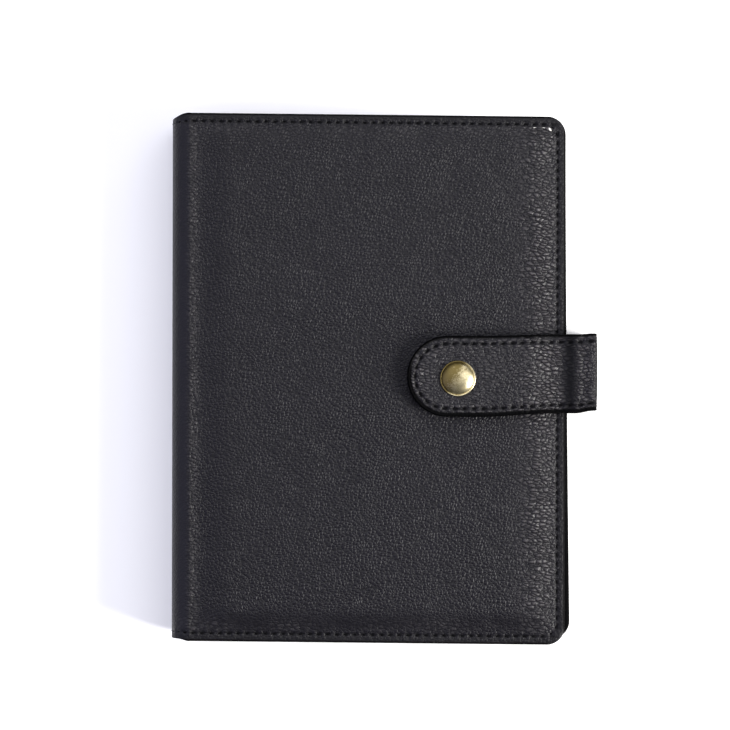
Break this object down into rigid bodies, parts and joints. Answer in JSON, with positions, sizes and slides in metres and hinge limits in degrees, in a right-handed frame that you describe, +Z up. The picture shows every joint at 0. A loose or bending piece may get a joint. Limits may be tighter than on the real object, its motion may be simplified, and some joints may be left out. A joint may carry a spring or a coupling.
{
  "type": "ring organiser cover",
  "caption": "Refillable ring organiser cover in padded black leather with a stitched edge, a rounded strap with a domed snap, a hinged spine, opening rings, pockets and a pen loop.",
  "frame": {"origin": "centre of the closed cover's overall outline, with the strap, on the surface that the back cover lies on", "axes": "+X towards the fore-edge and the strap, +Y towards the top of the page, +Z up through the front cover"},
  "size_m": [0.185, 0.23, 0.0465],
  "materials": {
    "leather_outer": "satin, fine pebble grain",
    "leather_lining": "matte, smooth",
    "greyboard": "matte",
    "foam": "matte",
    "thread": "matte",
    "antique_brass": "polished, aged",
    "plated_steel": "polished"
  },
  "bodies": {
    "back_cover": {"back_cover_leather": "leather_outer", "back_cover_stitching": "thread", "back_cover_foam": "foam", "back_cover_board": "greyboard", "back_cover_lining": "leather_lining", "note_pocket": "leather_lining", "pen_loop": "leather_lining", "back_crease_leather": "leather_outer", "strap_root_outer": "leather_outer", "strap_root_inner": "leather_lining", "strap_fold_lower": "leather_outer"},
    "spine": {"spine_leather": "leather_outer", "spine_board": "greyboard", "spine_lining": "leather_lining", "spine_stitching_top": "thread", "spine_stitching_bottom": "thread", "front_crease_leather": "leather_outer", "ring_base_plate": "plated_steel", "mechanism_rivet_1": "plated_steel", "mechanism_rivet_2": "plated_steel"},
    "front_leaf": {"ring_leaf_front": "plated_steel", "ring_1_front_half": "plated_steel", "ring_2_front_half": "plated_steel", "ring_3_front_half": "plated_steel", "ring_4_front_half": "plated_steel", "ring_5_front_half": "plated_steel", "ring_6_front_half": "plated_steel"},
    "back_leaf": {"ring_leaf_back": "plated_steel", "ring_1_back_half": "plated_steel", "ring_2_back_half": "plated_steel", "ring_3_back_half": "plated_steel", "ring_4_back_half": "plated_steel", "ring_5_back_half": "plated_steel", "ring_6_back_half": "plated_steel"},
    "lever_top": {"ring_lever_top": "plated_steel"},
    "lever_bottom": {"ring_lever_bottom": "plated_steel"},
    "front_cover": {"front_cover_leather": "leather_outer", "front_cover_stitching": "thread", "front_cover_foam": "foam", "front_cover_board": "greyboard", "front_cover_lining": "leather_lining", "card_pocket_1": "leather_lining", "card_pocket_2": "leather_lining", "card_pocket_3": "leather_lining", "slip_pocket": "leather_lining", "snap_stud": "antique_brass", "snap_post": "antique_brass"},
    "strap_riser": {"strap_riser_outer": "leather_outer", "strap_riser_inner": "leather_lining", "strap_riser_stitching_top": "thread", "strap_riser_stitching_bottom": "thread", "strap_fold_upper": "leather_outer"},
    "strap_tab": {"strap_tab_outer": "leather_outer", "strap_tab_inner": "leather_lining", "strap_tab_stitching": "thread", "snap_cap": "antique_brass", "snap_socket": "antique_brass", "snap_spring": "plated_steel"}
  },
  "joints": [
    {"name": "spine_hinge", "type": "hinge", "parent": "back_cover", "child": "spine", "pos_m": [-0.09078, 0, 0.00292], "axis": [0, -1, 0], "range_deg": [0, 90], "deforming": ["back_crease_leather"]},
    {"name": "cover_hinge", "type": "hinge", "parent": "spine", "child": "front_cover", "pos_m": [-0.09078, 0, 0.03508], "axis": [0, -1, 0], "range_deg": [0, 90], "deforming": ["front_crease_leather"]},
    {"name": "strap_root_fold", "type": "hinge", "parent": "back_cover", "child": "strap_riser", "pos_m": [0.09186, 0, 0.00204], "axis": [0, 1, 0], "range_deg": [0, 88], "deforming": ["strap_fold_lower"]},
    {"name": "strap_top_fold", "type": "hinge", "parent": "strap_riser", "child": "strap_tab", "pos_m": [0.09186, 0, 0.04316], "axis": [0, 1, 0], "range_deg": [0, 90], "deforming": ["strap_fold_upper"]},
    {"name": "ring_open", "type": "hinge", "parent": "spine", "child": "front_leaf", "pos_m": [-0.0868, 0, 0.0264], "axis": [0, -1, 0], "range_deg": [0, 8]},
    {"name": "back_leaf_turn", "type": "hinge", "parent": "spine", "child": "back_leaf", "pos_m": [-0.0868, 0, 0.0116], "axis": [0, 1, 0], "range_deg": [0, 8]},
    {"name": "lever_top_turn", "type": "hinge", "parent": "spine", "child": "lever_top", "pos_m": [-0.0877, 0.093, 0.019], "axis": [0, 0, 1], "range_deg": [0, 30]},
    {"name": "lever_bottom_turn", "type": "hinge", "parent": "spine", "child": "lever_bottom", "pos_m": [-0.0877, -0.093, 0.019], "axis": [0, 0, -1], "range_deg": [0, 30]}
  ],
  "couplings": [
    {"joint": "back_leaf_turn", "follows": "ring_open", "ratio": 1},
    {"joint": "lever_top_turn", "follows": "ring_open", "ratio": 3.75},
    {"joint": "lever_bottom_turn", "follows": "ring_open", "ratio": 3.75}
  ]
}
